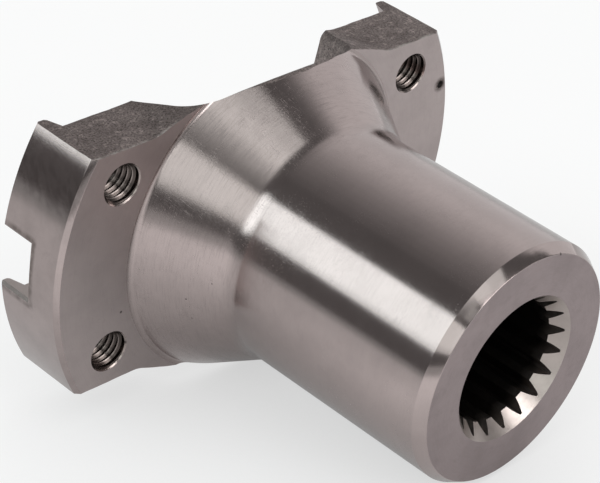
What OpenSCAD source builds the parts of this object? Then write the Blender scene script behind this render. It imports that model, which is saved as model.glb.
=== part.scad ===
// Forged driveline end yoke: a splined hub that flares into a two-eared flange.
// Each ear carries a bearing seat with two tapped holes, a pilot lip and a keyway.
// Frame: origin on the hub axis in the plane of the ears' turned front faces.
// The hub points along -Y, the ears lie along X, and +Z is up.

/* [Hub] */
// Outside diameter of the turned hub
hub_d = 57.1; // [52:0.1:60]
// Length from the ears' front faces to the hub's end face
hub_len = 75.9; // [50:0.1:110]
// Radial size of the chamfer at the hub's end
end_chamfer_r = 1.6; // [0.5:0.1:3]
// Axial size of the chamfer at the hub's end
end_chamfer_l = 2.6; // [0.5:0.1:5]
// Diameter at which the cone meets the ears' front faces
cone_d = 80.4; // [72:0.1:84]
// Axial length of the cone, up to the hub
cone_len = 18.8; // [14:0.1:26]
// Radius of the hollow where the cone runs into the hub
hub_blend_r = 8; // [3:0.5:14]
// Radius of the small hollow between the cone and the front faces
face_fillet_r = 1.6; // [0.8:0.1:2.5]

/* [Ears] */
// Diameter over the two ears, turned about the hub axis
swing_d = 121.4; // [116:0.1:128]
// Height of an ear between its forged flats
ear_h = 60.2; // [56:0.2:64]
// Thickness of an ear from its front face to its bearing seat
ear_t = 14.8; // [12:0.1:18]
// Size of the turned chamfer on the front outer edge
ear_chamfer = 1; // [0.3:0.1:2]
// Height over the forged crowns in the middle
crown_h = 74.4; // [70:0.2:80]
// Distance between the places where a crown would meet the ears' flats
crown_w = 70.4; // [62:0.2:78]
// Radius of the hollow where a crown runs out into a flat
crown_blend_r = 8; // [2:0.5:12]
// Angle at which a crown falls away behind the front faces, towards the seats
crown_fall = 7.6; // [5:0.2:12]

/* [Lips] */
// Diameter inside the lips at their foot, the pilot for the bearing blocks
pilot_d = 114.8; // [110:0.1:117]
// Amount by which a lip's inner side opens, on the radius, from its foot to its rim
lip_open = 1; // [0.2:0.1:1.5]
// Height of a lip above its bearing seat
lip_h = 4.2; // [2:0.1:6]
// Edge break on the lip's rim
lip_break = 0.5; // [0.2:0.1:0.8]

/* [Keyways] */
// Width of the keyway across the middle of each ear
key_w = 14.3; // [10:0.1:18]
// Depth of the keyway below the bearing seat
key_depth = 4.8; // [1.5:0.1:6]

/* [Pocket between the ears] */
// Width of the pocket at the seats, level with the ears' flats
pocket_w = 56.4; // [52:0.2:62]
// Depth of the pocket in its middle, from the seats
pocket_depth = 17; // [15:0.1:18]
// How far the forged pocket sits to the right of the machined hub axis (less than 0: to the left)
pocket_shift = -0.4; // [-2:0.1:2]
// Lean of the pocket's side walls from the hub axis
pocket_lean = 20; // [15:1:30]
// Angle by which each side wall comes inwards from an ear's flat to mid height
pocket_draft = 9.5; // [4:0.5:11]
// Radius of the pocket's lower corners
pocket_corner_r = 10; // [8:0.5:14]
// Radius of the pocket's gently hollow floor
pocket_floor_r = 92; // [60:1:120]

/* [Tapped holes] */
// Distance between the two columns of holes, across the yoke
hole_dx = 88.8; // [84:0.1:92]
// Distance between the two holes of an ear
hole_dz = 42.9; // [36:0.1:46]
// Nominal diameter of the thread, to which each hole is drawn
thread_d = 9.53; // [8:0.01:12]
// Diameter of the countersink at the front face
countersink_d = 10.1; // [10:0.1:14]

/* [Spline] */
// Number of teeth in the hub's bore
spline_teeth = 19; // [16:1:22]
// Pitch diameter divided by the number of teeth
spline_module = 1.5875; // [1.5:0.0001:1.65]
// Pressure angle of the tooth flanks
spline_angle = 30; // [30:7.5:37.5]
// Share of the module that a tooth reaches inside the pitch circle
tooth_inside = 0.4; // [0.3:0.05:0.5]
// Share of the module that a groove reaches outside the pitch circle
groove_outside = 0.95; // [0.8:0.05:1]
// Diameter of the tapered mouth at the hub's end face
mouth_d = 34.7; // [34:0.1:40]
// Angle of the tapered mouth from the hub axis
mouth_angle = 40; // [30:1:50]

/* [Dent] */
// Diameter of the round dent that a hardness test left on the right ear's front face
dent_d = 1.9; // [1:0.1:3]
// Depth of that dent
dent_depth = 0.4; // [0.1:0.05:0.5]

/* [Hidden] */
$fn = 180;
// reach by which a cut runs past the surface that it opens
past = 1;
// reach by which a rounding cut bites into the sides beside it, so that the edges cross cleanly
bite = 0.003;
// reach by which the slanted pocket runs past the crowns and past mid height
slant_past = 3;
// height above the ears' flats at which a falling crown has run out
fall_end = 0.02;
// reach by which the falling crown's arc is wider than the crown's own
fall_wider = 2;
// straight steps along one flank of a spline tooth
flank_steps = 3;

steel = [0.56, 0.53, 0.52];
hub_r = hub_d / 2;
cone_r = cone_d / 2;
swing_r = swing_d / 2;
pilot_r = pilot_d / 2;
lip_end = ear_t + lip_h;
crown_top = crown_h / 2;
crown_rise = (crown_h - ear_h) / 2;
crown_r = (pow(crown_w / 2, 2) + pow(crown_rise, 2)) / (2 * crown_rise);
pitch_r = spline_teeth * spline_module / 2;
tooth_r = pitch_r - tooth_inside * spline_module;
groove_r = pitch_r + groove_outside * spline_module;
base_r = pitch_r * cos(spline_angle);
mouth_len = (mouth_d / 2 - tooth_r) / tan(mouth_angle);
dent_x = 56;
dent_z = 15;
dent_ball_r = (pow(dent_d / 2, 2) + pow(dent_depth, 2)) / (2 * dent_depth);

function unit(v) = v / norm(v);
function polar(r, a) = [r * cos(a), r * sin(a)];
// For a corner between the unit directions a and b: how far its rounding of radius r runs
// along each side, and where the centre of the rounding lies.
function run(a, b, r) = r / tan(acos(a * b) / 2);
function centre(corner, a, b, r) = corner + unit(a + b) * r / sin(acos(a * b) / 2);

// Turns the XY plane so that the profile's Y runs towards the hub's end, along -Y of the part
module along_hub() {
    rotate([90, 0, 0]) children();
}

// Half section of everything that the lathe cuts: X is the radius, Y the way to the hub's end
module turned_section() {
    up = unit([hub_r - cone_r, cone_len]);
    hub_corner = [hub_r, cone_len];
    face_corner = [cone_r, 0];
    hub_run = run([0, 1], -up, hub_blend_r);
    face_run = run([1, 0], up, face_fillet_r);
    difference() {
        polygon([
            [0, -ear_t],
            [pilot_r, -ear_t],
            [pilot_r + lip_open, -lip_end + lip_break],
            [pilot_r + lip_open + lip_break, -lip_end],
            [swing_r - lip_break, -lip_end],
            [swing_r, -lip_end + lip_break],
            [swing_r, -ear_chamfer],
            [swing_r - ear_chamfer, 0],
            face_corner + [face_run, 0],
            face_corner + up * face_run,
            hub_corner - up * hub_run,
            hub_corner + [0, hub_run],
            [hub_r, hub_len - end_chamfer_l],
            [hub_r - end_chamfer_r, hub_len],
            [0, hub_len]
        ]);
        translate(centre(hub_corner, [0, 1], -up, hub_blend_r)) circle(hub_blend_r + bite);
        translate(centre(face_corner, [1, 0], up, face_fillet_r)) circle(face_fillet_r + bite);
    }
}

module turned_blank() {
    along_hub() rotate_extrude() turned_section();
}

// Forged outline seen along the hub: two flat-sided ears and a crown above and below
module forged_outline() {
    crown_y = crown_top - crown_r;
    blend_y = ear_h / 2 + crown_blend_r;
    blend_x = sqrt(pow(crown_r + crown_blend_r, 2) - pow(blend_y - crown_y, 2));
    high = crown_top + past;
    difference() {
        union() {
            square([swing_d + 2 * past, ear_h], center = true);
            square([2 * blend_x, 2 * high], center = true);
        }
        for (up = [0, 1]) mirror([0, up]) {
            // everything above the crown's arc, between the centres of the two hollows
            difference() {
                polygon([
                    [0, crown_y],
                    [blend_x, blend_y],
                    [blend_x, high + past],
                    [-blend_x, high + past],
                    [-blend_x, blend_y]
                ]);
                translate([0, crown_y]) circle(crown_r);
            }
            for (x = [-blend_x, blend_x])
                translate([x, blend_y]) circle(crown_blend_r + bite);
        }
    }
}

// Everything below the crown where it falls away towards the seats, and below the ears' flat
module under_crown() {
    pivot = (crown_top + ear_h / 2) / 2;
    long = lip_end + hub_len + 2 * past;
    translate([0, 0, pivot]) rotate([-crown_fall, 0, 0]) translate([0, 2 * lip_end, -pivot])
        along_hub() translate([0, crown_top - crown_r - fall_wider, 0])
            cylinder(r = crown_r + fall_wider, h = long + 2 * lip_end);
    translate([-swing_d, -hub_len - 2 * past, -swing_d])
        cube([2 * swing_d, long + 2 * past, swing_d + ear_h / 2 + fall_end]);
}

module forged_bar() {
    intersection() {
        translate([0, lip_end + past, 0]) along_hub()
            linear_extrude(lip_end + hub_len + 2 * past) forged_outline();
        under_crown();
        mirror([0, 0, 1]) under_crown();
    }
}

// Pocket seen from above: X across the yoke, Y from the seats towards the hub
module pocket_section() {
    lean = tan(pocket_lean);
    top = lip_h + past;
    // each lower corner's arc touches the leaning wall and the hollow floor
    floor_y = pocket_depth - pocket_floor_r;
    inner_x = pocket_w / 2 - pocket_corner_r / cos(pocket_lean);
    reach = pocket_floor_r - pocket_corner_r;
    qa = 1 + lean * lean;
    qb = -2 * (inner_x * lean + floor_y);
    qc = inner_x * inner_x + floor_y * floor_y - reach * reach;
    corner_y = (-qb + sqrt(qb * qb - 4 * qa * qc)) / (2 * qa);
    corner = [inner_x - lean * corner_y, corner_y];
    out_wall = [cos(pocket_lean), sin(pocket_lean)];
    out_floor = unit(corner - [0, floor_y]);
    far = 2 * pocket_corner_r;
    difference() {
        intersection() {
            polygon([
                [-pocket_w / 2 - lean * top, -top],
                [pocket_w / 2 + lean * top, -top],
                [pocket_w / 2 - lean * (pocket_depth + past), pocket_depth + past],
                [-pocket_w / 2 + lean * (pocket_depth + past), pocket_depth + past]
            ]);
            translate([0, floor_y]) circle(pocket_floor_r);
        }
        for (side = [0, 1]) mirror([side, 0]) difference() {
            polygon([
                corner,
                corner + out_wall * far,
                corner + (out_wall + out_floor) * far,
                corner + out_floor * far
            ]);
            translate(corner) circle(pocket_corner_r + bite);
        }
    }
}

// The section carried down from above the crown to just past mid height, aslant, so that
// its wall on the right comes inwards
module pocket_slant() {
    above = crown_rise + slant_past;
    translate([0, ear_t, ear_h / 2]) rotate([0, pocket_draft, 0])
        translate([0, 0, above]) rotate([180, 0, 0])
            linear_extrude(above + ear_h / 2 + slant_past) pocket_section();
}

module pocket() {
    translate([pocket_shift, 0, 0]) for (up = [0, 1]) mirror([0, 0, up]) intersection() {
        pocket_slant();
        mirror([1, 0, 0]) pocket_slant();
    }
}

module keyways() {
    for (side = [-1, 1]) translate([side * swing_r / 2, ear_t - key_depth + lip_end, 0])
        cube([swing_r + 2 * past, 2 * lip_end, key_w], center = true);
}

module tapped_hole() {
    sink = (countersink_d - thread_d) / 2;
    along_hub() {
        translate([0, 0, -ear_t - past]) cylinder(d = thread_d, h = ear_t + 2 * past);
        translate([0, 0, -sink]) cylinder(d1 = thread_d, d2 = countersink_d + 2 * past,
            h = sink + past);
    }
}

module tapped_holes() {
    for (x = [-1, 1], z = [-1, 1])
        translate([x * hole_dx / 2, 0, z * hole_dz / 2]) tapped_hole();
}

// Polar angle that an involute of the base circle has turned through at radius r
function involute_angle(r) =
    let (pressure = acos(base_r / r)) tan(pressure) * 180 / PI - pressure;
function half_tooth(r) =
    90 / spline_teeth - involute_angle(pitch_r) + involute_angle(r);

// One tooth of the hub, about the X axis, from inside the tooth tips to outside the grooves
module spline_tooth() {
    low = max(base_r, tooth_r - past / 2);
    high = groove_r + past / 2;
    radii = [for (i = [0 : flank_steps]) low + (high - low) * i / flank_steps];
    polygon(concat(
        [for (r = radii) polar(r, -half_tooth(r))],
        [for (i = [flank_steps : -1 : 0]) polar(radii[i], half_tooth(radii[i]))]
    ));
}

module spline_section() {
    difference() {
        circle(groove_r);
        difference() {
            for (i = [0 : spline_teeth - 1]) rotate(360 * i / spline_teeth) spline_tooth();
            circle(tooth_r);
        }
    }
}

module spline_bore() {
    translate([0, ear_t, 0]) along_hub()
        linear_extrude(ear_t + hub_len + past) spline_section();
}

module spline_mouth() {
    translate([0, mouth_len - hub_len, 0]) along_hub()
        cylinder(r1 = tooth_r, r2 = mouth_d / 2 + past * tan(mouth_angle), h = mouth_len + past);
}

module test_dent() {
    translate([dent_x, dent_depth - dent_ball_r, dent_z]) sphere(dent_ball_r);
}

module yoke() {
    color(steel) difference() {
        intersection() {
            turned_blank();
            forged_bar();
        }
        pocket();
        keyways();
        tapped_holes();
        spline_bore();
        spline_mouth();
        test_dent();
    }
}

yoke();
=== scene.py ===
import math
import bpy
import numpy as np
from mathutils import Matrix, Vector, noise


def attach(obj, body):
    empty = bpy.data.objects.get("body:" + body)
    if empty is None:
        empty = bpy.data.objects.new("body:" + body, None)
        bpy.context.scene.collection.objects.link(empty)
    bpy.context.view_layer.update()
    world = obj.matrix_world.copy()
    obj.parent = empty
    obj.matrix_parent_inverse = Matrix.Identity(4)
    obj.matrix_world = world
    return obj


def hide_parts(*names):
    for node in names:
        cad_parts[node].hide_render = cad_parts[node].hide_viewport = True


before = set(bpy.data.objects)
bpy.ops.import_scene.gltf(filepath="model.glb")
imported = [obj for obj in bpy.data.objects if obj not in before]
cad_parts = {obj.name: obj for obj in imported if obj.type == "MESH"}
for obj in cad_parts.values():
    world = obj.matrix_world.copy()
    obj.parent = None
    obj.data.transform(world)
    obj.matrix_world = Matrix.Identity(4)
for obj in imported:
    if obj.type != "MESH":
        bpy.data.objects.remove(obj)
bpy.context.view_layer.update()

MM = 0.001
TURN = 2 * math.pi

# Sizes, as in the part, in mm
HUB_R, HUB_LEN = 28.55, 75.9
END_R, END_L = 1.6, 2.6
CONE_R, CONE_LEN = 40.2, 18.8
HUB_BLEND, FACE_FILLET = 8.0, 1.6
SWING_R, EAR_T, EAR_CHAMFER = 60.7, 14.8, 1.0
EAR_TOP, CROWN_TOP, CROWN_HALF, CROWN_BLEND = 30.1, 37.2, 35.2, 8.0
PILOT_R, LIP_OPEN, LIP_END, LIP_BREAK = 57.4, 1.0, 19.0, 0.5
KEY_W, KEY_FLOOR = 14.3, 10.0
CROWN_FALL = math.tan(math.radians(7.6))
POCKET_HALF, POCKET_DEPTH, POCKET_SHIFT = 28.2, 17.0, -0.4
POCKET_LEAN, POCKET_DRAFT = math.radians(20), math.radians(9.5)
POCKET_CORNER, POCKET_FLOOR = 10.0, 92.0
HOLE_X, HOLE_Z, THREAD_R, SINK_R = 44.4, 21.45, 4.765, 5.05
TEETH, MODULE, PRESSURE = 19, 1.5875, math.radians(30)
PITCH_R = TEETH * MODULE / 2
TOOTH_R, GROOVE_R = PITCH_R - 0.4 * MODULE, PITCH_R + 0.95 * MODULE
MOUTH_R, MOUTH_ANGLE = 17.35, math.radians(40)
DENT_X, DENT_Z, DENT_R, DENT_DEPTH = 56.0, 15.0, 0.95, 0.4

# Details that only the scene has, in mm
EDGE_R = 0.18                       # rounding of the turned edges
RIM_R, RIM_ANGLE = 2.3, math.radians(76)    # rounding of the pocket's rim, and how far it turns
RIM_REACH, RIM_LIFT = 1.2, 0.4      # the pocket's air past that rounding: along it, and up
CROWN_SOFT = 0.35                   # rounding where the fallen crown meets the ears' flats
# The keyway's ends and its filed chamfer: x, and how much wider and deeper it is there
KEY_CHAMFER = ((20.0, 0, 0), (SWING_R - 1.25, 0, 0), (SWING_R + 0.55, 1.125, 1.35))
THREAD_PITCH, THREAD_CREST = 1.5, 4.15
THREAD_FOOT, THREAD_TIP = 0.44, 0.07    # half widths of a ridge: share of the pitch, and mm
# Unevenness of the forged skin: depth, size and a seed
BAR_LUMPS = ((0.22, 7.0, 3.0), (0.08, 2.2, 9.0))
POCKET_LUMPS = ((0.20, 8.0, 5.0), (0.08, 2.4, 11.0))

# Fineness of the meshes
TURN_STEPS, HOLE_STEPS, MOUTH_STEPS, THREAD_STEPS = 480, 96, 240, 72
BALL_STEPS, BALL_ROUND = 24, 32
LONGEST = 6.0                       # a longer stretch of the turned section is cut up
POCKET_POINTS, WALL_LEVELS, RIM_LEVELS = 60, 44, 10
BAR_STEP, BAR_STEP_OUTER = 0.6, 0.8
PAST = 2.0                          # how far a cutter goes beyond what it cuts

# Material slots, shared by every cutter and by the finished yoke
HUB, CONE, FACE, EAR, FORGED, MILLED, BORE, SPLINE, DENT, END = range(10)
TURNED = (HUB, CONE, FACE, EAR, END)


# --- Mesh helpers
def unit(v):
    v = np.asarray(v, float)
    return v / np.linalg.norm(v)


def circle(radius, steps):
    angles = np.arange(steps) * TURN / steps
    return [(radius * math.cos(t), radius * math.sin(t)) for t in angles]


def read(items, attribute, width=1, kind=float):
    """An attribute of every vertex, edge, loop or polygon, as one array."""
    values = np.empty(len(items) * width, kind)
    items.foreach_get(attribute, values)
    return values.reshape(-1, width) if width > 1 else values


def make(name, verts, faces, kinds, materials):
    """New piece of the scene, with its faces turned outwards; kinds is one slot or one per face."""
    mesh = bpy.data.meshes.new(name)
    mesh.from_pydata([tuple(v) for v in np.asarray(verts, float) * MM], [], faces)
    for material in materials:
        mesh.materials.append(material)
    kinds = np.broadcast_to(np.asarray(kinds, np.int32), len(faces)).copy()
    mesh.polygons.foreach_set("material_index", kinds)
    mesh.update()
    mesh.calc_loop_triangles()
    co = read(mesh.vertices, "co", 3)
    a, b, c = (co[corner] for corner in read(mesh.loop_triangles, "vertices", 3, np.int32).T)
    if np.einsum("ij,ij->i", a, np.cross(b, c)).sum() < 0:
        mesh.flip_normals()
    piece = bpy.data.objects.new(name, mesh)
    bpy.context.scene.collection.objects.link(piece)
    return piece


def loft(name, rows, kind, materials):
    """Closed solid through rings of equal count."""
    rows = np.asarray(rows, float)
    n, m = rows.shape[:2]
    faces = []
    for i in range(n - 1):
        for j in range(m):
            k = (j + 1) % m
            faces.append((i * m + j, i * m + k, (i + 1) * m + k, (i + 1) * m + j))
    faces.append(tuple(range(m - 1, -1, -1)))
    faces.append(tuple((n - 1) * m + j for j in range(m)))
    return make(name, rows.reshape(-1, 3), faces, kind, materials)


def arc(corner, before, after, radius, steps):
    """Points of the rounding at a corner of a line that comes from before and goes to after."""
    a, b = unit(np.subtract(before, corner)), unit(np.subtract(after, corner))
    half = math.acos(float(np.dot(a, b))) / 2
    corner = np.asarray(corner, float)
    mid = corner + unit(a + b) * radius / math.sin(half)
    start = corner + a * radius / math.tan(half) - mid
    end = corner + b * radius / math.tan(half) - mid
    t0 = math.atan2(start[1], start[0])
    turn = (math.atan2(end[1], end[0]) - t0 + math.pi) % TURN - math.pi
    angles = [t0 + turn * i / steps for i in range(steps + 1)]
    return [mid + radius * np.array((math.cos(t), math.sin(t))) for t in angles]


def lumps(points, sorts):
    """Smooth unevenness at each point, never above 0; sorts are as in BAR_LUMPS."""
    total, peak = 0, 0.7                # peak: where the noise is cut off
    for depth, size, seed in sorts:
        shift = Vector((seed, 2.7 * seed, -seed))
        value = np.array([noise.noise(Vector(p) / size + shift) for p in points])
        total = total + (np.clip(value, -peak, peak) / peak - 1) * depth / 2
    return total


# --- Turned blank
def profile():
    """Half section, as points (radius, way towards the hub's end), and each stretch's slot."""
    sharp, edge = (None, 0), (EDGE_R, 3)
    foot = (CONE_R, 0)
    corners = [
        ((0, -EAR_T), sharp, FACE),
        ((PILOT_R, -EAR_T), sharp, FACE),
        ((PILOT_R + LIP_OPEN, -LIP_END + LIP_BREAK), sharp, FACE),
        ((PILOT_R + LIP_OPEN + LIP_BREAK, -LIP_END), sharp, EAR),
        ((SWING_R - LIP_BREAK, -LIP_END), sharp, EAR),
        ((SWING_R, -LIP_END + LIP_BREAK), sharp, EAR),
        ((SWING_R, -EAR_CHAMFER), edge, EAR),
        ((SWING_R - EAR_CHAMFER, 0), edge, EAR),
        (foot, (FACE_FILLET, 8), FACE),
        ((HUB_R, CONE_LEN), (HUB_BLEND, 12), CONE),
        ((HUB_R, HUB_LEN - END_L), edge, HUB),
        ((HUB_R - END_R, HUB_LEN), edge, HUB),
        ((0, HUB_LEN), sharp, END),
    ]
    points, kinds = [], []
    for i, (corner, (radius, steps), kind) in enumerate(corners):
        new = [np.array(corner, float)]
        if radius:
            new = arc(corner, corners[i - 1][0], corners[i + 1][0], radius, steps)
        for j, point in enumerate(new):
            if points and np.linalg.norm(point - points[-1]) < 1e-6:
                continue
            if points:
                kinds.append(CONE if j and corner == foot else kind)
            points.append(point)
    return np.array(points), kinds


def turned_blank(materials):
    """The section turned about the hub's axis, with a fan of faces at each end."""
    points, stretches = profile()
    dense, kinds = [points[0]], []
    for a, b, kind in zip(points, points[1:], stretches):
        parts = max(1, int(np.linalg.norm(b - a) / LONGEST))
        for s in range(1, parts + 1):
            dense.append(a + (b - a) * s / parts)
            kinds.append(kind)
    verts = [(0, -dense[0][1], 0)]
    for r, way in dense[1:-1]:
        verts += [(x, -way, z) for x, z in circle(r, TURN_STEPS)]
    verts.append((0, -dense[-1][1], 0))
    rings = [1 + TURN_STEPS * i for i in range(len(dense) - 2)]
    faces, slots = [], []
    for j in range(TURN_STEPS):
        k = (j + 1) % TURN_STEPS
        faces.append((0, rings[0] + k, rings[0] + j))
        faces += [(low + j, low + k, high + k, high + j) for low, high in zip(rings, rings[1:])]
        faces.append((rings[-1] + j, rings[-1] + k, len(verts) - 1))
        slots += kinds
    return make("turned_blank", verts, faces, slots, materials)


# --- Forged skin
CROWN_RISE = CROWN_TOP - EAR_TOP
CROWN_R = (CROWN_HALF ** 2 + CROWN_RISE ** 2) / (2 * CROWN_RISE)
CROWN_MID = CROWN_TOP - CROWN_R
BLEND_MID = EAR_TOP + CROWN_BLEND
BLEND_X = math.sqrt((CROWN_R + CROWN_BLEND) ** 2 - (BLEND_MID - CROWN_MID) ** 2)
TOUCH_X = BLEND_X * CROWN_R / (CROWN_R + CROWN_BLEND)


def forged_height(x, y):
    """Height of the skin above mid height; behind the front faces the crown falls away."""
    x = np.abs(x)
    crown = CROWN_MID + np.sqrt(np.maximum(CROWN_R ** 2 - x * x, 0))
    hollow = BLEND_MID - np.sqrt(np.maximum(CROWN_BLEND ** 2 - (x - BLEND_X) ** 2, 0))
    front = np.where(x <= TOUCH_X, crown, np.where(x < BLEND_X, hollow, EAR_TOP))
    fallen = crown - CROWN_FALL * y
    behind = EAR_TOP + CROWN_SOFT * np.logaddexp(0, (fallen - EAR_TOP) / CROWN_SOFT)
    return np.where(y > 0, np.minimum(front, behind), front)


def forged_bar(materials):
    """The forged outline, as a bar along the hub's axis."""
    xs = np.concatenate([np.arange(-63, -40, BAR_STEP_OUTER), np.arange(-40, 40.01, BAR_STEP),
                         np.arange(40.8, 63.1, BAR_STEP_OUTER)])
    ys = np.concatenate([[-HUB_LEN - PAST, -50.0, -35.0], np.arange(-24.0, 20.01, BAR_STEP)])
    ring = np.concatenate([xs, xs[::-1]])
    sign = np.repeat((1.0, -1.0), len(xs))
    rows = []
    for y in ys:
        points = np.column_stack([ring, np.full(len(ring), y), sign * forged_height(ring, y)])
        points[:, 2] += sign * lumps(points, BAR_LUMPS)
        rows.append(points)
    return loft("forged_bar", rows, FORGED, materials)


def pocket_ring(half):
    """Half outline of the pocket at one height, from the seat to the middle, and its normals."""
    lean = math.tan(POCKET_LEAN)
    top = LIP_END - EAR_T + 1
    floor_mid = np.array((0, POCKET_DEPTH - POCKET_FLOOR))
    # the corner's middle is where the wall's and the floor's inner parallels cross
    inner = half - POCKET_CORNER / math.cos(POCKET_LEAN)
    reach = POCKET_FLOOR - POCKET_CORNER
    qa = 1 + lean * lean
    qb = -2 * (inner * lean + floor_mid[1])
    qc = inner ** 2 + floor_mid[1] ** 2 - reach ** 2
    corner_y = (-qb + math.sqrt(qb * qb - 4 * qa * qc)) / (2 * qa)
    corner = np.array((inner - lean * corner_y, corner_y))
    wall = np.array((math.cos(POCKET_LEAN), math.sin(POCKET_LEAN)))
    to_floor = unit(corner - floor_mid)
    start = np.array((half + lean * top, -top))
    touch = corner + wall * POCKET_CORNER
    a0, a1 = math.atan2(wall[1], wall[0]), math.atan2(to_floor[1], to_floor[0])
    straight = np.linalg.norm(touch - start)
    bend = POCKET_CORNER * abs(a1 - a0)
    total = straight + bend + POCKET_FLOOR * (math.pi / 2 - a1)
    points, normals = [], []
    for i in range(POCKET_POINTS):
        s = total * i / (POCKET_POINTS - 1)
        if s <= straight:
            points.append(start + (touch - start) * s / straight)
            normals.append(wall)
            continue
        if s <= straight + bend:
            mid, radius, t = corner, POCKET_CORNER, a0 + (a1 - a0) * (s - straight) / bend
        else:
            mid, radius, t = floor_mid, POCKET_FLOOR, a1 + (s - straight - bend) / POCKET_FLOOR
        normals.append(np.array((math.cos(t), math.sin(t))))
        points.append(mid + radius * normals[-1])
    return np.array(points), np.array(normals)


def pocket(materials):
    """The pocket's air, with a rim that flares out into the crown and the ears' flats."""
    draft = math.tan(POCKET_DRAFT)
    base = POCKET_HALF / math.cos(POCKET_DRAFT)
    outline, _ = pocket_ring(base)
    top = WALL_LEVELS + RIM_LEVELS + 1
    floor_share, full_x = 0.6, 20.0     # of the lumps on the floor; full on the walls from here

    def ring(level, sign, side):
        """Levels of the drafted wall, then of the rim's rounding, last of the air past it."""
        angle = RIM_ANGLE * min(max(level - WALL_LEVELS, 0), RIM_LEVELS) / RIM_LEVELS
        points = []
        for i, (x, y) in enumerate(outline):
            height = float(forged_height(x + side * POCKET_SHIFT, EAR_T - y))
            z, out = (height - RIM_R) * level / WALL_LEVELS, 0.0
            if level > WALL_LEVELS:
                z = height - RIM_R + RIM_R * math.sin(angle)
                out = RIM_R * (1 - math.cos(angle))
            if level == top:
                z = z + RIM_REACH * math.cos(angle) + RIM_LIFT
                out += RIM_REACH * math.sin(angle)
            p, n = pocket_ring(base + (min(z, EAR_TOP) - EAR_TOP) * draft)
            x, y = p[i] + n[i] * out
            points.append((x, EAR_T - y, z * sign))
        return np.array(points)

    def whole(level, sign):
        right, left = ring(level, sign, 1), ring(level, sign, -1)[::-1][1:]
        left[:, 0] *= -1
        both = np.concatenate([right, left])
        dip = lumps(both, POCKET_LUMPS)
        x = both[:, 0].copy()
        both[:, 1] += dip * floor_share
        both[:, 0] += POCKET_SHIFT + np.sign(x) * dip * np.clip(np.abs(x) / full_x, 0, 1)
        return both

    lower = [whole(level, -1) for level in range(top, 0, -1)]
    upper = [whole(level, 1) for level in range(0, top + 1)]
    flat, above = np.array((1.0, 1.0, 0.0)), np.array((0.0, 0.0, CROWN_TOP + 4))
    rows = [lower[0] * flat - above] + lower + upper + [upper[-1] * flat + above]
    return loft("pocket", rows, FORGED, materials)


# --- Machined cuts
def keyway(side, materials):
    """Slot across one ear, with the filed chamfer where it leaves the ear."""
    back, rows = 30.0, []               # the slot's open side, past the lip
    for x, wider, deeper in KEY_CHAMFER:
        half, floor = KEY_W / 2 + wider, KEY_FLOOR - deeper
        rows.append([(side * x, back, -half), (side * x, floor, -half),
                     (side * x, floor, half), (side * x, back, half)])
    return loft("keyway", rows, MILLED, materials)


def drilled(name, x, z, rings, kind, steps, materials):
    """Round hole along the hub's axis; rings are (y, radius)."""
    rows = [[(x + a, y, z + b) for a, b in circle(r, steps)] for y, r in rings]
    return loft(name, rows, kind, materials)


def spline_cut(materials):
    """The air of a splined bore with involute grooves."""
    base = PITCH_R * math.cos(PRESSURE)

    def involute(r):
        pressure = math.acos(base / r)
        return math.tan(pressure) - pressure

    def half_tooth(r):
        return math.pi / 2 / TEETH - involute(PITCH_R) + involute(r)

    radii = np.linspace(TOOTH_R, GROOVE_R, 6)
    half_pitch = math.pi / TEETH
    root = half_pitch - half_tooth(GROOVE_R)        # half of a groove's floor
    ring = []
    for i in range(TEETH):
        mid = TURN * i / TEETH
        polar = [(GROOVE_R, mid - half_pitch + root * s / 3) for s in range(3)]
        polar += [(r, mid - half_tooth(r)) for r in radii[::-1]]
        polar += [(TOOTH_R, mid - half_tooth(TOOTH_R) * (1 - s / 2)) for s in (1, 2, 3)]
        polar += [(r, mid + half_tooth(r)) for r in radii]
        polar += [(GROOVE_R, mid + half_tooth(GROOVE_R) + root * s / 3) for s in (1, 2)]
        ring += [(r * math.cos(t), r * math.sin(t)) for r, t in polar]
    rows = [[(x, y, z) for x, z in ring] for y in (-HUB_LEN - PAST, EAR_T)]
    return loft("spline_cut", rows, SPLINE, materials)


def dent(materials):
    """The ball of the hardness test, pressed into the right ear's face."""
    radius = (DENT_R ** 2 + DENT_DEPTH ** 2) / (2 * DENT_DEPTH)
    rows = []
    for i in range(1, BALL_STEPS):
        t = math.pi * i / BALL_STEPS
        y = DENT_DEPTH - radius - radius * math.cos(t)
        ring = circle(radius * math.sin(t), BALL_ROUND)
        rows.append([(DENT_X + a, y, DENT_Z + b) for a, b in ring])
    return loft("dent", rows, DENT, materials)


def cut(body, tool, operation="DIFFERENCE"):
    step = body.modifiers.new("cut", "BOOLEAN")
    step.operation, step.object, step.solver = operation, tool, "MANIFOLD"
    depsgraph = bpy.context.evaluated_depsgraph_get()
    result = bpy.data.meshes.new_from_object(body.evaluated_get(depsgraph))
    old = body.data
    body.modifiers.clear()
    body.data = result
    bpy.data.meshes.remove(old)
    bpy.data.objects.remove(tool)


def build_yoke(materials):
    body = turned_blank(materials)
    cut(body, forged_bar(materials), "INTERSECT")
    cut(body, pocket(materials))
    # a through hole, with a countersink of 45 degrees that carries on past the face
    sink = SINK_R - THREAD_R
    hole_rings = [(EAR_T + 1, THREAD_R), (sink, THREAD_R), (-1.0, SINK_R + 1.0)]
    for side in (-1, 1):
        cut(body, keyway(side, materials))
        for up in (-1, 1):
            cut(body, drilled("hole", side * HOLE_X, up * HOLE_Z, hole_rings, BORE, HOLE_STEPS,
                              materials))
    cut(body, spline_cut(materials))
    mouth_rings = [(-HUB_LEN + (MOUTH_R - TOOTH_R) / math.tan(MOUTH_ANGLE), TOOTH_R),
                   (-HUB_LEN - 1, MOUTH_R + math.tan(MOUTH_ANGLE))]
    cut(body, drilled("mouth", 0, 0, mouth_rings, SPLINE, MOUTH_STEPS, materials))
    cut(body, dent(materials))
    body.name = body.data.name = "yoke_forging"
    return body


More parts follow.
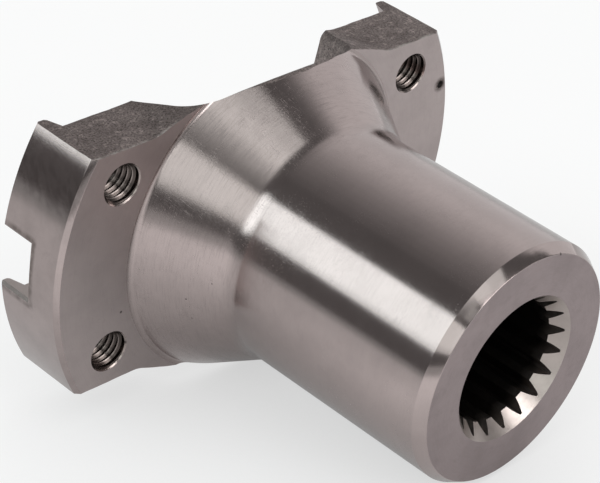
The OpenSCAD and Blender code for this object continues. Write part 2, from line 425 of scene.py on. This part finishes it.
def thread(name, x, z, material):
    """Right-handed helical ridge of one tapped hole, fading out at both ends."""
    y0, y1 = SINK_R - THREAD_R + 0.1, EAR_T - 0.5
    total = int((y1 - y0) / THREAD_PITCH * THREAD_STEPS)
    foot_r = THREAD_R + 0.05
    rows = []
    for i in range(total + 1):
        t = -TURN * i / THREAD_STEPS
        y = y0 + THREAD_PITCH * i / THREAD_STEPS
        # full height from half a turn after the start to 0.8 of a turn before the end
        fade = min(1.0, i / (THREAD_STEPS * 0.5), (total - i) / (THREAD_STEPS * 0.8))
        fade = max(fade, 0.02)
        tip_r = THREAD_R - (THREAD_R - THREAD_CREST) * fade
        foot = THREAD_FOOT * THREAD_PITCH * fade
        section = [(foot_r, y - foot), (tip_r, y - THREAD_TIP), (tip_r, y + THREAD_TIP),
                   (foot_r, y + foot)]
        rows.append([(x + r * math.cos(t), along, z + r * math.sin(t)) for r, along in section])
    piece = loft(name, rows, 0, [material])
    piece.data.polygons.foreach_set("use_smooth", np.ones(len(piece.data.polygons), bool))
    piece.data.set_sharp_from_angle(angle=math.radians(40))
    return piece


# --- Shading
def mark_sharp_edges(mesh, kind, loop_poly):
    """Sharp by angle, and between two finishes unless both are turned."""
    mesh.set_sharp_from_angle(angle=math.radians(28))
    loop_edge = read(mesh.loops, "edge_index", 1, np.int32)
    low, high = np.full(len(mesh.edges), END + 1), np.full(len(mesh.edges), -1)
    np.minimum.at(low, loop_edge, kind[loop_poly])
    np.maximum.at(high, loop_edge, kind[loop_poly])
    sharp = read(mesh.attributes["sharp_edge"].data, "value", 1, bool)
    sharp |= (low != high) & ~(np.isin(low, TURNED) & np.isin(high, TURNED))
    mesh.attributes["sharp_edge"].data.foreach_set("value", sharp)


def section_normals(a, b):
    """Normals at the start and the end of each stretch from a to b of the section."""
    short, joint = 5.0, math.cos(math.radians(24))      # a wider turn than this is a sharp corner
    long = np.linalg.norm(b - a, axis=1)
    along = (b - a) / long[:, None]
    flat = np.column_stack([along[:, 1], -along[:, 0]])
    start, end = flat.copy(), flat.copy()
    # a rounding's short stretches share their normals at the joints; a sharp corner's don't
    for i in range(1, len(flat)):
        if flat[i] @ flat[i - 1] <= joint:
            continue
        if long[i - 1] < short and long[i] < short:
            start[i] = end[i - 1] = unit(flat[i] + flat[i - 1])
        elif long[i - 1] < short:
            start[i] = end[i - 1] = flat[i]
        else:
            start[i] = end[i - 1] = flat[i - 1]
    return along, long, flat, start, end


def smooth(body):
    """Smooth shading, with the section's own normals on the turned faces."""
    mesh = body.data
    mesh.polygons.foreach_set("use_smooth", np.ones(len(mesh.polygons), bool))
    kind = read(mesh.polygons, "material_index", 1, np.int32)
    loop_total = read(mesh.polygons, "loop_total", 1, np.int32)
    loop_poly = np.repeat(np.arange(len(mesh.polygons)), loop_total)
    mark_sharp_edges(mesh, kind, loop_poly)
    points, _ = profile()
    a, b = points[:-1], points[1:]
    along, long, flat, start, end = section_normals(a, b)
    # the stretch of the section that each turned face lies on: it is near and faces the same way
    centre, normal = read(mesh.polygons, "center", 3) / MM, read(mesh.polygons, "normal", 3)
    radius = np.hypot(centre[:, 0], centre[:, 2])
    outwards = normal[:, 0] * centre[:, 0] + normal[:, 2] * centre[:, 2]
    outwards /= np.maximum(radius, 1e-6)
    is_turned = np.isin(kind, TURNED)
    best = np.full(len(mesh.polygons), -1)
    for chunk in np.array_split(np.nonzero(is_turned)[0], 40):
        p = np.column_stack([radius[chunk], -centre[chunk, 1]])
        t = np.clip(np.einsum("fsk,sk->fs", p[:, None, :] - a[None], along), 0, long)
        gap = np.linalg.norm(p[:, None, :] - a[None] - t[..., None] * along[None], axis=2)
        agree = np.outer(outwards[chunk], flat[:, 0]) - np.outer(normal[chunk, 1], flat[:, 1])
        best[chunk] = np.argmin(gap + 5 * (1 - agree), axis=1)
    # normals at the corners of the turned faces; (0, 0, 0) leaves the others as they are
    pick = is_turned[loop_poly]
    v = read(mesh.vertices, "co", 3)[read(mesh.loops, "vertex_index", 1, np.int32)[pick]] / MM
    s = best[loop_poly[pick]]
    r = np.hypot(v[:, 0], v[:, 2])
    p = np.column_stack([r, -v[:, 1]])
    t = np.clip(np.einsum("ij,ij->i", p - a[s], along[s]) / long[s], 0, 1)[:, None]
    n = start[s] * (1 - t) + end[s] * t
    n /= np.linalg.norm(n, axis=1)[:, None]
    spoke = n[:, 0] / np.maximum(r, 1e-6)
    custom = np.zeros((len(mesh.loops), 3))
    custom[pick] = np.column_stack([spoke * v[:, 0], -n[:, 1], spoke * v[:, 2]])
    mesh.normals_split_custom_set(custom.tolist())


# --- Materials
class Nodes:
    """Short ways to add a material's nodes and join them; coordinates are in metres."""

    def __init__(self, material):
        material.use_nodes = True
        self.tree = material.node_tree
        self.tree.nodes.clear()

    def add(self, kind, inputs, **settings):
        """New node; each input is a number, a colour or another node's output."""
        node = self.tree.nodes.new(kind)
        for key, value in settings.items():
            setattr(node, key, value)
        for key, value in inputs.items():
            if isinstance(value, bpy.types.NodeSocket):
                self.tree.links.new(value, node.inputs[key])
            else:
                node.inputs[key].default_value = value
        return node

    def math(self, operation, a, b=0.0, c=0.0):
        return self.add("ShaderNodeMath", {0: a, 1: b, 2: c}, operation=operation).outputs[0]

    def times(self, first, *rest):
        for factor in rest:
            first = self.math("MULTIPLY", first, factor)
        return first

    def plus(self, base, value, factor=1.0):
        return self.math("MULTIPLY_ADD", value, factor, base)

    def largest(self, a, b):
        return self.math("MAXIMUM", a, b)

    def apart(self, value, place_mm=0.0):
        """How far a coordinate is from a place."""
        return self.math("ABSOLUTE", self.math("SUBTRACT", value, place_mm * MM))

    def hypot(self, a, b):
        return self.math("SQRT", self.math("ADD", self.times(a, a), self.times(b, b)))

    def mix(self, factor, a, b):
        return self.add("ShaderNodeMix", {0: factor, 6: a, 7: b}, data_type="RGBA").outputs[2]

    def ramp(self, value, low, high, out_low=0.0, out_high=1.0):
        """Straight ramp from out_low to out_high, level past both ends."""
        limits = {"From Min": low, "From Max": high, "To Min": out_low, "To Max": out_high}
        return self.add("ShaderNodeMapRange", {"Value": value, **limits}).outputs["Result"]

    def ramp_mm(self, value, low, high, out_low=0.0, out_high=1.0):
        return self.ramp(value, low * MM, high * MM, out_low, out_high)

    def place(self):
        """The point's own coordinates, whole and split into x, y and z."""
        where = self.add("ShaderNodeTexCoord", {}).outputs["Object"]
        return where, self.add("ShaderNodeSeparateXYZ", {0: where}).outputs

    def noise(self, vector, scale, detail=3.0, rough=0.55):
        return self.add("ShaderNodeTexNoise", {"Vector": vector, "Scale": scale, "Detail": detail,
                                               "Roughness": rough}).outputs["Fac"]

    def streaks(self, vector, turn, width_mm, length_mm):
        """Noise drawn out along one direction."""
        size = (width_mm * MM, length_mm * MM, width_mm * MM)
        placed = self.add("ShaderNodeMapping", {"Vector": vector, "Rotation": turn, "Scale": size},
                          vector_type="TEXTURE")
        return self.noise(placed.outputs[0], 1.0, 2.0, 0.5)

    def spot(self, vector, centre, low, high):
        """1 near a point, 0 past the higher radius; all in mm."""
        centre = tuple(c * MM for c in centre)
        gap = self.add("ShaderNodeVectorMath", {0: vector, 1: centre}, operation="DISTANCE")
        return self.ramp_mm(gap.outputs["Value"], low, high, 1.0, 0.0)

    def finish(self, metal, colour, rough, height, bump_strength, bump_mm, more=None):
        """The shader and the output; more holds further inputs of the shader."""
        bump = self.add("ShaderNodeBump", {"Strength": bump_strength, "Distance": bump_mm * MM,
                                           "Height": height})
        shader = self.add("ShaderNodeBsdfPrincipled",
                          {"Metallic": metal, "Base Color": colour, "Roughness": rough,
                           "Normal": bump.outputs[0], **(more or {})})
        self.add("ShaderNodeOutputMaterial", {"Surface": shader.outputs[0]})


def rgb(red, green, blue):
    return red, green, blue, 1.0


def shade(colour, factor):
    return rgb(*(factor * c for c in colour[:3]))


TINT = rgb(0.39, 0.328, 0.318)
BROWN = rgb(0.075, 0.058, 0.050)        # a darker ring about the dent, and painted shade along the keyway's edges
SMEAR = rgb(0.17, 0.135, 0.13)          # stain beside the keyway
THREAD_SHADE = rgb(0.05, 0.040, 0.036)           # painted shade in the threads
BORE_SHADE = rgb(0.085, 0.072, 0.066)        # painted shade deep in the bore
PIT = rgb(0.03, 0.025, 0.025)
# painted highlight on the forged skin's edge, where a turned face cuts it
EDGE_GLINT = rgb(0.62, 0.57, 0.54)
RUB = 0.12                              # how much rougher a rub mark is
# Pits and chips seen in the photograph: x, y, z and radius in mm
PITS = ((-41.76, 0, -12.0, 0.32), (-39.77, 0, -21.1, 0.5), (7.7, -75.9, 25.8, 0.3),
        (-30.6, -15.6, -0.3, 0.17), (-33.0, -10.7, -6.0, 0.2), (-31.2, -11.3, -11.4, 0.15))


def near_dent(n, where, split, colour):
    """Brown ring about the dent."""
    ring = n.spot(where, (DENT_X, 0, DENT_Z), 1.0, 2.3)
    return n.mix(n.times(ring, n.ramp(n.noise(where, 1500.0), 0.2, 0.5)), colour, BROWN)


def near_keyway(n, where, split, colour):
    """Painted shade as a dark outline where the keyway leaves the ear, and a stain above it."""
    _, y, z = split
    off_mid = n.apart(z)
    # painted shade along the keyway's sides and along its floor's edge
    sides = n.times(n.ramp_mm(n.apart(off_mid, KEY_W / 2 + 1.1), 0.2, 1.1, 1.0, 0.0),
                    n.ramp_mm(y, 7.8, 9.2))
    floor_line = n.times(n.ramp_mm(n.apart(y, KEY_FLOOR - 1.3), 0.2, 1.0, 1.0, 0.0),
                         n.ramp_mm(off_mid, 8.0, 9.0, 1.0, 0.0))
    uneven = n.ramp(n.noise(where, 420.0), 0.25, 0.62)
    colour = n.mix(n.times(n.largest(sides, floor_line), uneven, 0.62), colour, BROWN)
    stain = n.largest(n.ramp(n.streaks(where, (0.9, 0.3, 0.2), 1.1, 5.0), 0.46, 0.62),
                      n.ramp(n.noise(where, 420.0, 4.0, 0.7), 0.50, 0.66))
    band = n.times(n.ramp_mm(z, 16.6, 17.3), n.ramp_mm(z, 23.0, 26.5, 1.0, 0.2))
    return n.mix(n.times(stain, band, 0.32), colour, SMEAR)


def thread_root(n, where, split, colour):
    """Painted shade in the thread's groove, below the countersink, and more of it deep down."""
    x, y, z = split
    off_x = n.math("SUBTRACT", n.apart(x), HOLE_X * MM)
    off_z = n.math("SUBTRACT", n.apart(z), HOLE_Z * MM)
    root = n.times(n.ramp_mm(n.hypot(off_x, off_z), 4.17, 4.38), n.ramp_mm(y, 0.25, 0.60), 0.9)
    return n.mix(n.largest(root, n.ramp_mm(y, 1.0, 5.0, 0.0, 0.6)), colour, THREAD_SHADE)


def deep_bore(n, where, split, colour):
    """The bore darkens behind its mouth: painted shade."""
    return n.mix(n.ramp_mm(split[1], -72.6, -69.5), colour, BORE_SHADE)


def steel(name, tint, rough, spread, rings, ring_scale, grain, blotch, stretch=0.0, extra=None,
          fine_end=False):
    """Machined steel with fine rings about the hub's axis, satin patches, rubs, specks and pits.

    rough is the least roughness, and spread what rings and patches add to it; rings is their
    depth and darkness, ring_scale their fineness; grain is the height of specks and blotch the
    darkness of clouds; stretch is the anisotropy; extra adds local marks to the colour;
    fine_end gives the hub's end chamfer a finer finish.
    """
    material = bpy.data.materials.new(name)
    n = Nodes(material)
    where, split = n.place()
    x, y, z = split
    around = n.times(n.math("ARCTAN2", z, x), 0.0022)
    ring_place = n.add("ShaderNodeCombineXYZ", {0: around, 1: y, 2: n.hypot(x, z)}).outputs[0]
    fine = n.noise(ring_place, ring_scale, 4.0, 0.7)
    wide = n.noise(ring_place, ring_scale * 0.22, 2.0, 0.5)
    speck = n.noise(where, 5200.0, 2.0, 0.6)
    cloud = n.noise(where, 95.0, 4.0, 0.6)
    patch = n.noise(where, 330.0, 5.0, 0.65)
    # colour: darker clouds, patches and rings
    dark = shade(tint, 0.80)
    colour = n.mix(n.times(n.ramp(cloud, 0.42, 0.68), blotch), tint, dark)
    colour = n.mix(n.times(n.ramp(patch, 0.55, 0.75), blotch * 0.7), colour, dark)
    colour = n.mix(n.times(n.ramp(fine, 0.5, 0.72), rings), colour, dark)
    # a few scattered pits, and those of the photograph
    cells = n.add("ShaderNodeTexVoronoi", {"Vector": where, "Scale": 160.0, "Randomness": 1.0})
    pit = n.times(n.ramp(cells.outputs["Distance"], 0.03, 0.055, 1.0, 0.0),
                  n.ramp(n.noise(where, 70.0, 1.0), 0.70, 0.76))
    for *centre, size in PITS:
        pit = n.largest(pit, n.spot(where, centre, size * 0.6, size * 1.3))
    if extra:
        colour = extra(n, where, split, colour)
    colour = n.mix(n.times(pit, 0.75), colour, PIT)
    # rub marks: short fine streaks, in patches
    rub = n.largest(n.ramp(n.streaks(where, (0.5, 0.3, 0.5), 0.22, 2.2), 0.56, 0.70),
                    n.ramp(n.streaks(where, (-0.4, 0.2, -0.8), 0.26, 1.7), 0.58, 0.72))
    rub = n.times(rub, n.ramp(n.noise(where, 60.0, 3.0), 0.38, 0.54))
    chamfer = -(HUB_LEN - END_L + 0.4), -(HUB_LEN - END_L - 0.2)
    if fine_end:
        calm = n.ramp_mm(y, *chamfer, 0.4, 1.0)
        rub, speck = n.times(rub, calm), n.times(speck, calm)
    roughness = n.plus(rough, n.ramp(fine, 0.3, 0.7), spread)
    roughness = n.plus(roughness, n.ramp(patch, 0.4, 0.7), spread * 0.6)
    roughness = n.plus(roughness, pit, 0.3)
    roughness = n.plus(roughness, rub, RUB)
    if fine_end:
        roughness = n.times(roughness, n.ramp_mm(y, *chamfer, 0.82, 1.0))
    height = n.plus(n.times(wide, rings * 0.7), fine, rings)
    height = n.plus(height, speck, grain)
    height = n.plus(height, pit, -1.5)
    more = {}
    if stretch:
        tangent = n.add("ShaderNodeTangent", {}, direction_type="RADIAL", axis="Y").outputs[0]
        more = {"Anisotropic": stretch, "Anisotropic Rotation": 0.25, "Tangent": tangent}
    n.finish(1.0, colour, roughness, height, 0.35, 0.04, more)
    return material


def forged_steel(name, tint, dark, rough, glint):
    """Dark, grainy skin; the last argument is how bright the painted highlight is along its edge
    where a turned face cuts it.
    """
    material = bpy.data.materials.new(name)
    n = Nodes(material)
    where, (x, y, _) = n.place()
    grain = n.noise(where, 2300.0, 6.0, 0.8)
    coarse = n.noise(where, 620.0, 5.0, 0.75)
    cloud = n.noise(where, 110.0, 4.0, 0.7)
    colour = n.mix(n.ramp(cloud, 0.35, 0.7), tint, dark)
    colour = n.mix(n.times(n.ramp(grain, 0.47, 0.58), 0.9), colour, shade(dark, 0.45))
    colour = n.mix(n.times(n.ramp(coarse, 0.54, 0.68), 0.6), colour, shade(tint, 1.9))
    # painted highlight: a lighter strip along the edge where a turned face cuts the skin
    edge = n.times(n.ramp_mm(n.apart(y), 0.1, 0.8, 1.0, 0.0),
                   n.ramp(n.noise(where, 260.0), 0.42, 0.6), n.ramp_mm(n.apart(x), 28.0, 33.0))
    colour = n.mix(n.times(edge, glint), colour, EDGE_GLINT)
    roughness = n.ramp(grain, 0.3, 0.7, rough - 0.1, rough + 0.15)
    n.finish(0.85, colour, roughness, n.plus(grain, coarse, 1.2), 0.75, 0.16)
    return material


# One for each slot, from HUB to END
materials = [
    steel("hub_steel", TINT, rough=0.11, spread=0.06, rings=0.30, ring_scale=5200.0, grain=0.25,
          blotch=0.35, stretch=0.70, fine_end=True),
    steel("cone_steel", TINT, rough=0.11, spread=0.09, rings=0.85, ring_scale=3600.0, grain=0.25,
          blotch=0.4, stretch=0.75),
    steel("faced_steel", rgb(0.455, 0.390, 0.382), rough=0.36, spread=0.08, rings=0.22,
          ring_scale=3000.0, grain=0.8, blotch=0.45, extra=near_dent),
    steel("ear_steel", TINT, rough=0.085, spread=0.02, rings=0.25, ring_scale=4200.0, grain=0.4,
          blotch=0.7, stretch=0.4, extra=near_keyway),
    forged_steel("forged_skin", rgb(0.34, 0.282, 0.268), rgb(0.18, 0.143, 0.136), 0.55, 0.7),
    steel("milled_steel", rgb(0.50, 0.44, 0.42), rough=0.34, spread=0.08, rings=0.1,
          ring_scale=2500.0, grain=0.6, blotch=0.5),
    # Darker than the turned steel: painted shade inside the tapped holes and on their threads.
    steel("bore_steel", rgb(0.31, 0.262, 0.245), rough=0.17, spread=0.10, rings=0.2,
          ring_scale=2500.0, grain=0.4, blotch=0.4, extra=thread_root),
    steel("broached_steel", rgb(0.44, 0.385, 0.36), rough=0.26, spread=0.10, rings=0.1,
          ring_scale=2500.0, grain=0.5, blotch=0.4, extra=deep_bore),
    forged_steel("dent_steel", rgb(0.03, 0.024, 0.022), rgb(0.015, 0.012, 0.011), 0.6, 0.0),
    steel("end_steel", rgb(0.31, 0.255, 0.255), rough=0.36, spread=0.08, rings=0.10,
          ring_scale=3000.0, grain=0.8, blotch=0.7),
]

# --- The part
yoke = build_yoke(materials)
smooth(yoke)
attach(yoke, "root")
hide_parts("yoke")

for side_name, side in (("left", -1), ("right", 1)):
    for up_name, up in (("upper", 1), ("lower", -1)):
        ridge = thread("thread_%s_%s" % (side_name, up_name), side * HOLE_X, up * HOLE_Z,
                       materials[BORE])
        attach(ridge, "root")

# --- Camera, as in the photograph
SENSOR = 36.0
FOCAL_PX, PHOTO_WIDTH_PX = 2261.3, 600.0
scene = bpy.context.scene
camera_data = bpy.data.cameras.new("camera")
camera = bpy.data.objects.new("camera", camera_data)
scene.collection.objects.link(camera)


def frame_at(side, top, way, centre):
    """Matrix of an object with these three axes, at this place."""
    return Matrix([(side[i], top[i], way[i], centre[i]) for i in range(3)] + [(0, 0, 0, 1)])


camera.matrix_world = frame_at((0.7094, -0.6958, 0.1119), (0.3096, 0.4503, 0.8375),
                               (-0.6331, -0.5595, 0.5349), (-0.3210, -0.2956, 0.2685))
camera_data.sensor_fit = "HORIZONTAL"
camera_data.sensor_width = SENSOR
camera_data.lens = SENSOR * FOCAL_PX / PHOTO_WIDTH_PX
camera_data.clip_start, camera_data.clip_end = 0.02, 60.0
scene.camera = camera

# --- Floor, through the two places that the part rests on: a crown's front edge and the hub's end
FLOOR_HALF, FLOOR_GAP = 6.0, 0.0003
CAMERA_WHITE, MIRROR_WHITE = 0.85, 0.66     # how much of the floor is plain white to each ray
crown_rest, hub_rest = Vector((0, -0.0049, -0.0372)), Vector((0, -0.0733, -0.02856))
along = (crown_rest - hub_rest).normalized()
mid = (crown_rest + hub_rest) / 2 - Vector((1, 0, 0)).cross(along).normalized() * FLOOR_GAP
floor_mesh = bpy.data.meshes.new("floor")
floor_mesh.from_pydata([mid + Vector((sx * FLOOR_HALF, 0, 0)) + along * sy * FLOOR_HALF
                        for sx, sy in ((-1, -1), (1, -1), (1, 1), (-1, 1))], [], [(0, 1, 2, 3)])
floor = bpy.data.objects.new("floor", floor_mesh)
scene.collection.objects.link(floor)
floor_material = bpy.data.materials.new("floor_paper")
f = Nodes(floor_material)
path = f.add("ShaderNodeLightPath", {}).outputs
mirrored = f.largest(path["Is Glossy Ray"], path["Is Transmission Ray"])
seen = f.largest(f.times(path["Is Camera Ray"], CAMERA_WHITE), f.times(mirrored, MIRROR_WHITE))
paper = f.add("ShaderNodeBsdfDiffuse", {"Color": rgb(0.97, 0.97, 0.97)})
# The white is darker under the part, where less of the room is seen: a painted shadow. What the
# part mirrors of it also fades far away on the left and ahead, and a little to the right and
# behind: painted shade.
open_sky = f.add("ShaderNodeAmbientOcclusion", {"Distance": 0.09}, samples=8).outputs["AO"]
_, (across, onward, _) = f.place()
ahead = f.largest(f.times(onward, -0.8), 0.0)
# painted light: the mirrored white is lifted a little ahead on the left
lift = f.times(f.ramp(onward, -0.04, -0.005, 0.35, 0.0), f.ramp(across, -0.08, -0.035, 1.0, 0.0))
fade = f.times(f.ramp(f.math("SUBTRACT", ahead, across), 0.33, 0.50, 1.0, 0.30),
               f.ramp(across, 0.03, 0.16, 1.0, 0.80), f.ramp(onward, -0.03, 0.05, 1.0, 0.80),
               f.plus(1.0, lift))
in_mirror = f.times(f.plus(0.23, open_sky, 0.77), fade)
in_view = f.plus(0.68, open_sky, 0.32)
glow = f.add("ShaderNodeMix", {0: path["Is Camera Ray"], 2: in_mirror, 3: in_view}).outputs[0]
white = f.add("ShaderNodeEmission", {"Color": rgb(1, 1, 1), "Strength": glow})
blend = f.add("ShaderNodeMixShader", {0: seen, 1: paper.outputs[0], 2: white.outputs[0]})
f.add("ShaderNodeOutputMaterial", {"Surface": blend.outputs[0]})
floor_mesh.materials.append(floor_material)

# --- Soft studio light
ROOM = rgb(0.16, 0.16, 0.16)
PLAIN, KEY_TINT, FRONT_TINT = (1, 1, 1), (0.88, 1.0, 1.0), (0.93, 1.0, 0.98)
AIM, LAMP_AWAY = Vector((0, -0.03, 0)), 2.0
world = bpy.data.worlds.new("studio")
scene.world = world
world.use_nodes = True
world.node_tree.nodes["Background"].inputs["Color"].default_value = ROOM
world.node_tree.nodes["Background"].inputs["Strength"].default_value = 1.0


def lamp(name, width, height, level, colour, place):
    """Area lamp of an even level, whatever its size."""
    data = bpy.data.lights.new(name, "AREA")
    data.shape = "RECTANGLE"
    data.size, data.size_y = width, height
    data.energy = level * math.pi * width * height
    data.color = colour
    piece = bpy.data.objects.new(name, data)
    piece.matrix_world = place
    piece.visible_camera = False
    scene.collection.objects.link(piece)


def spread_at(half_degrees):
    return 2 * LAMP_AWAY * math.tan(math.radians(half_degrees))


def softbox(name, azimuth, elevation, half_width, half_height, level, colour=PLAIN):
    """Lamp that faces the part from this direction; all angles in degrees."""
    az, el = math.radians(azimuth), math.radians(elevation)
    way = Vector((math.cos(el) * math.cos(az), math.cos(el) * math.sin(az), math.sin(el)))
    side = Vector((-math.sin(az), math.cos(az), 0))
    lamp(name, spread_at(half_width), spread_at(half_height), level, colour,
         frame_at(side, way.cross(side), way, AIM + way * LAMP_AWAY))


def strip(name, turn, half_turn, start, end, level, colour=PLAIN):
    """Lamp parallel to the hub: turn is its angle about the hub's axis, from +X over +Z;
    start and end are the angles from +Y at which its ends are seen."""
    t = math.radians(turn)
    far, near = (LAMP_AWAY / math.tan(math.radians(a)) for a in (start, end))
    way = Vector((math.cos(t), 0, math.sin(t)))
    lamp(name, far - near, spread_at(half_turn), level, colour,
         frame_at(Vector((0, 1, 0)), Vector((-math.sin(t), 0, math.cos(t))), way,
                  AIM + way * LAMP_AWAY + Vector((0, (far + near) / 2, 0))))


# The key on the upper left, weaker along its lower edge: first and last turn, start and end
for part, low, high, start, end, level, tint in (
        ("back", 131, 160, 40, 70, 2.3, KEY_TINT), ("middle", 131, 160, 70, 95, 3.0, KEY_TINT),
        ("front", 133.5, 158, 95, 134, 1.35, FRONT_TINT),
        ("near", 133.5, 158, 134, 162, 1.6, FRONT_TINT)):
    strip("key_" + part, (low + high) / 2, (high - low) / 2, start, end, level, tint)
    strip("key_%s_low" % part, high + 2.5, 2.5, start, end, level * 0.78, tint)
# Overhead, in front; it fades towards the key
strip("overhead_right", 84, 8, 104, 128, 1.08, FRONT_TINT)
strip("overhead", 100, 8, 104, 128, 1.34, FRONT_TINT)
strip("overhead_near", 94, 17, 140, 165, 1.2, FRONT_TINT)
for i, level in enumerate((1.08, 0.86, 0.62, 0.38, 0.2)):
    strip("overhead_fade_%d" % i, 110.3 + 4.6 * i, 2.3, 104, 119.5, level, FRONT_TINT)
    strip("overhead_low_%d" % i, 110.3 + 4.6 * i, 2.3, 119.5, 128, level * 0.5, FRONT_TINT)
# The room's right side, which fades upwards
strip("right_low", 13, 17, 50, 80, 0.74)
strip("right_low_front", 13, 17, 80, 106, 0.84)
strip("right_middle", 36.75, 6.75, 50, 80, 0.78)
strip("right_middle_front", 36, 6, 80, 104, 0.84)
for i, level in enumerate((0.70, 0.52, 0.34, 0.18, 0.08)):
    strip("right_soft_%d" % i, 44 + 4 * i, 2, 80, 106, level)
for i, level in enumerate((0.70, 0.62, 0.51, 0.41, 0.31, 0.23, 0.16, 0.10, 0.05)):
    strip("right_fade_%d" % i, 47 + 7 * i, 3.5, 42, 80, level)
# From the front, for the bore's mouth and the end chamfer
softbox("front_right", -62, 24, 22, 16, 0.6)
strip("overhead_gap", 120, 7, 126, 140, 0.45, FRONT_TINT)
softbox("front_top", -82, 40, 17, 9, 4.2)

scene.view_settings.view_transform = "Standard"

bpy.context.view_layer.update()
